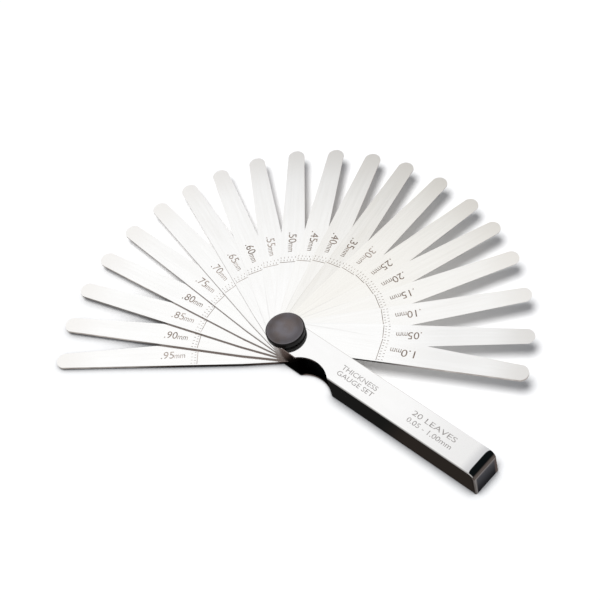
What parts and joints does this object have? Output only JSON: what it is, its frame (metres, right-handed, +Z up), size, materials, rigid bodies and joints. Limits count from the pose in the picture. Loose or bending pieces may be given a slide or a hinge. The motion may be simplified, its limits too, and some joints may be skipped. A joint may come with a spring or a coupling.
{
  "type": "feeler gauge",
  "caption": "Feeler gauge: tapered steel thickness leaves fanned out of a slim folded steel case, clamped by a round locking knob on the pivot.",
  "frame": {"origin": "on the leaves' pivot axis, at the underside of the case", "axes": "+Z up the pivot axis towards the locking knob, +X along the case towards its closed end, +Y the open side that the leaves swing out of"},
  "size_m": [0.2026, 0.1649, 0.0166],
  "materials": {
    "case": "polished sheet steel",
    "stud": "turned, riveted flush",
    "washer": "plain washer",
    "knob": "satin black oxide",
    "leaf": "satin ground steel, etched markings"
  },
  "bodies": {
    "case_frame": {"case": "case", "pivot_stud": "stud", "thrust_washer": "washer"},
    "knob": {"lock_knob": "knob"},
    "blade_1_00mm": {"leaf_1_00mm": "leaf"},
    "blade_0_05mm": {"leaf_0_05mm": "leaf"},
    "blade_0_10mm": {"leaf_0_10mm": "leaf"},
    "blade_0_15mm": {"leaf_0_15mm": "leaf"},
    "blade_0_20mm": {"leaf_0_20mm": "leaf"},
    "blade_0_25mm": {"leaf_0_25mm": "leaf"},
    "blade_0_30mm": {"leaf_0_30mm": "leaf"},
    "blade_0_35mm": {"leaf_0_35mm": "leaf"},
    "blade_0_40mm": {"leaf_0_40mm": "leaf"},
    "blade_0_45mm": {"leaf_0_45mm": "leaf"},
    "blade_0_50mm": {"leaf_0_50mm": "leaf"},
    "blade_0_55mm": {"leaf_0_55mm": "leaf"},
    "blade_0_60mm": {"leaf_0_60mm": "leaf"},
    "blade_0_65mm": {"leaf_0_65mm": "leaf"},
    "blade_0_70mm": {"leaf_0_70mm": "leaf"},
    "blade_0_75mm": {"leaf_0_75mm": "leaf"},
    "blade_0_80mm": {"leaf_0_80mm": "leaf"},
    "blade_0_85mm": {"leaf_0_85mm": "leaf"},
    "blade_0_90mm": {"leaf_0_90mm": "leaf"},
    "blade_0_95mm": {"leaf_0_95mm": "leaf"}
  },
  "joints": [
    {"name": "swing_1_00mm", "type": "hinge", "parent": "case_frame", "child": "blade_1_00mm", "pos_m": [0, 0, 0.0067], "axis": [0, 0, 1], "range_deg": [-23.8, 309]},
    {"name": "swing_0_05mm", "type": "hinge", "parent": "case_frame", "child": "blade_0_05mm", "pos_m": [0, 0, 0.0067], "axis": [0, 0, 1], "range_deg": [-34.3, 298.5]},
    {"name": "swing_0_10mm", "type": "hinge", "parent": "case_frame", "child": "blade_0_10mm", "pos_m": [0, 0, 0.0067], "axis": [0, 0, 1], "range_deg": [-46.3, 286.5]},
    {"name": "swing_0_15mm", "type": "hinge", "parent": "case_frame", "child": "blade_0_15mm", "pos_m": [0, 0, 0.0067], "axis": [0, 0, 1], "range_deg": [-57.8, 275]},
    {"name": "swing_0_20mm", "type": "hinge", "parent": "case_frame", "child": "blade_0_20mm", "pos_m": [0, 0, 0.0067], "axis": [0, 0, 1], "range_deg": [-68.3, 264.5]},
    {"name": "swing_0_25mm", "type": "hinge", "parent": "case_frame", "child": "blade_0_25mm", "pos_m": [0, 0, 0.0067], "axis": [0, 0, 1], "range_deg": [-77.8, 255]},
    {"name": "swing_0_30mm", "type": "hinge", "parent": "case_frame", "child": "blade_0_30mm", "pos_m": [0, 0, 0.0067], "axis": [0, 0, 1], "range_deg": [-88.8, 244]},
    {"name": "swing_0_35mm", "type": "hinge", "parent": "case_frame", "child": "blade_0_35mm", "pos_m": [0, 0, 0.0067], "axis": [0, 0, 1], "range_deg": [-99.3, 233.5]},
    {"name": "swing_0_40mm", "type": "hinge", "parent": "case_frame", "child": "blade_0_40mm", "pos_m": [0, 0, 0.0067], "axis": [0, 0, 1], "range_deg": [-108.8, 224]},
    {"name": "swing_0_45mm", "type": "hinge", "parent": "case_frame", "child": "blade_0_45mm", "pos_m": [0, 0, 0.0067], "axis": [0, 0, 1], "range_deg": [-118.8, 214]},
    {"name": "swing_0_50mm", "type": "hinge", "parent": "case_frame", "child": "blade_0_50mm", "pos_m": [0, 0, 0.0067], "axis": [0, 0, 1], "range_deg": [-129.3, 203.5]},
    {"name": "swing_0_55mm", "type": "hinge", "parent": "case_frame", "child": "blade_0_55mm", "pos_m": [0, 0, 0.0067], "axis": [0, 0, 1], "range_deg": [-139.8, 193]},
    {"name": "swing_0_60mm", "type": "hinge", "parent": "case_frame", "child": "blade_0_60mm", "pos_m": [0, 0, 0.0067], "axis": [0, 0, 1], "range_deg": [-149.8, 183]},
    {"name": "swing_0_65mm", "type": "hinge", "parent": "case_frame", "child": "blade_0_65mm", "pos_m": [0, 0, 0.0067], "axis": [0, 0, 1], "range_deg": [-158.8, 174]},
    {"name": "swing_0_70mm", "type": "hinge", "parent": "case_frame", "child": "blade_0_70mm", "pos_m": [0, 0, 0.0067], "axis": [0, 0, 1], "range_deg": [-167.8, 165]},
    {"name": "swing_0_75mm", "type": "hinge", "parent": "case_frame", "child": "blade_0_75mm", "pos_m": [0, 0, 0.0067], "axis": [0, 0, 1], "range_deg": [-177.3, 155.5]},
    {"name": "swing_0_80mm", "type": "hinge", "parent": "case_frame", "child": "blade_0_80mm", "pos_m": [0, 0, 0.0067], "axis": [0, 0, 1], "range_deg": [-187.3, 145.5]},
    {"name": "swing_0_85mm", "type": "hinge", "parent": "case_frame", "child": "blade_0_85mm", "pos_m": [0, 0, 0.0067], "axis": [0, 0, 1], "range_deg": [-197.3, 135.5]},
    {"name": "swing_0_90mm", "type": "hinge", "parent": "case_frame", "child": "blade_0_90mm", "pos_m": [0, 0, 0.0067], "axis": [0, 0, 1], "range_deg": [-207.8, 125]},
    {"name": "swing_0_95mm", "type": "hinge", "parent": "case_frame", "child": "blade_0_95mm", "pos_m": [0, 0, 0.0067], "axis": [0, 0, 1], "range_deg": [-218.3, 114.5]},
    {"name": "knob_turn", "type": "hinge", "parent": "case_frame", "child": "knob", "pos_m": [0, 0, 0.0152], "axis": [0, 0, 1], "range_deg": [0, 360]}
  ]
}
